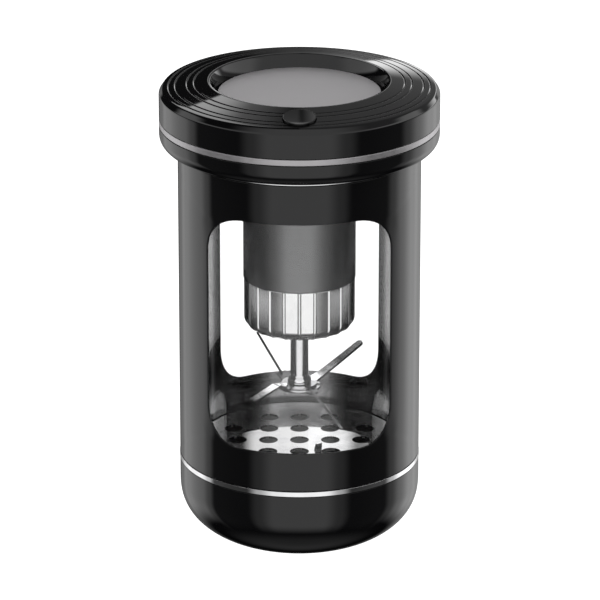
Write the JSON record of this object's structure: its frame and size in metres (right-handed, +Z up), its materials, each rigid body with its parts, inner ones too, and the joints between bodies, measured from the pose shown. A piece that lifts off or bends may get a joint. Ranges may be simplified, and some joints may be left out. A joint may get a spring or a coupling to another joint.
{
  "type": "handheld electric herb grinder",
  "caption": "Cordless drum-shaped grinder: windowed body, motor head with push button, four-armed cutter, sieve and rounded collecting cup.",
  "frame": {"origin": "centre of the flat foot under the cup, on the surface it stands on", "axes": "+Z up along the drum's axis; the push button is on the -Y side and the charging inlet on the +Y side"},
  "size_m": [0.0628, 0.0628, 0.1093],
  "materials": {
    "black_gloss": "piano-black gloss lacquer",
    "rubber_black": "matte",
    "blade_steel": "polished stainless",
    "sieve_steel": "mirror polished",
    "chrome": "bright",
    "clear_tube": "clear",
    "trim_grey": "satin anodised",
    "label_grey": "satin grey",
    "screw_steel": "zinc plated",
    "motor_steel": "satin",
    "bronze": "sintered",
    "dark_plastic": "moulded",
    "ferrite": "fired ferrite",
    "copper": "enamelled winding",
    "circuit_green": "solder mask",
    "cell_foil": "pouch foil",
    "wire_red": "insulation",
    "wire_black": "insulation"
  },
  "bodies": {
    "cup": {"bottom_cup": "black_gloss", "cup_o_ring": "rubber_black", "sieve_seal": "rubber_black"},
    "sieve": {"sieve_plate": "sieve_steel"},
    "cup_ring": {"base_trim_ring": "chrome"},
    "chamber": {"body_sleeve": "black_gloss", "window_tube": "clear_tube"},
    "head_ring": {"seam_ring": "chrome"},
    "head": {"head_top_shell": "black_gloss", "head_base_shell": "black_gloss", "head_trim_band": "trim_grey", "label_disc": "label_grey", "head_plug": "dark_plastic", "head_o_ring": "rubber_black", "head_screw_1": "screw_steel", "head_screw_2": "screw_steel", "head_screw_3": "screw_steel", "head_screw_4": "screw_steel", "motor_housing": "black_gloss", "fluted_cover": "chrome", "housing_screw_1": "screw_steel", "housing_screw_2": "screw_steel", "housing_screw_3": "screw_steel", "shaft_seal": "rubber_black", "spindle_bearing": "bronze", "motor_can": "motor_steel", "motor_end_cap": "dark_plastic", "magnet_right": "ferrite", "magnet_left": "ferrite", "front_bushing": "bronze", "rear_bushing": "bronze", "motor_terminal_1": "bronze", "motor_terminal_2": "bronze", "tact_switch": "dark_plastic", "button_board": "circuit_green", "battery_cell": "cell_foil", "main_board": "circuit_green", "usb_port": "motor_steel", "motor_lead_red": "wire_red", "motor_lead_black": "wire_black", "cell_lead_red": "wire_red", "cell_lead_black": "wire_black", "button_lead": "wire_black"},
    "rotor": {"motor_shaft": "motor_steel", "armature": "copper", "commutator": "copper", "spindle": "chrome", "upper_blade": "blade_steel", "lower_blade": "blade_steel", "blade_screw": "blade_steel"},
    "button": {"button_cap": "black_gloss", "switch_plunger": "dark_plastic"}
  },
  "joints": [
    {"name": "sleeve_turn", "type": "hinge", "parent": "cup", "child": "cup_ring", "pos_m": [0, 0, 0.0205], "axis": [0, 0, 1], "range_deg": [0, 90]},
    {"name": "sleeve_lift", "type": "slide", "parent": "cup_ring", "child": "chamber", "axis": [0, 0, 1], "range_m": [0, 0.045]},
    {"name": "sieve_lift", "type": "slide", "parent": "cup", "child": "sieve", "axis": [0, 0, 1], "range_m": [0, 0.0225]},
    {"name": "head_turn", "type": "hinge", "parent": "chamber", "child": "head_ring", "pos_m": [0, 0, 0.0935], "axis": [0, 0, 1], "continuous": true},
    {"name": "head_lift", "type": "slide", "parent": "head_ring", "child": "head", "axis": [0, 0, 1], "range_m": [0, 0.075]},
    {"name": "cutter_spin", "type": "hinge", "parent": "head", "child": "rotor", "pos_m": [0, 0, 0.06], "axis": [0, 0, 1], "continuous": true},
    {"name": "button_press", "type": "slide", "parent": "head", "child": "button", "axis": [0, 0.1565, -0.9877], "range_m": [0, 0.0006], "stiffness_N_per_m": 600, "springref_m": -0.0006}
  ],
  "couplings": [
    {"joint": "sieve_lift", "follows": "sleeve_lift", "ratio": 0.5}
  ]
}
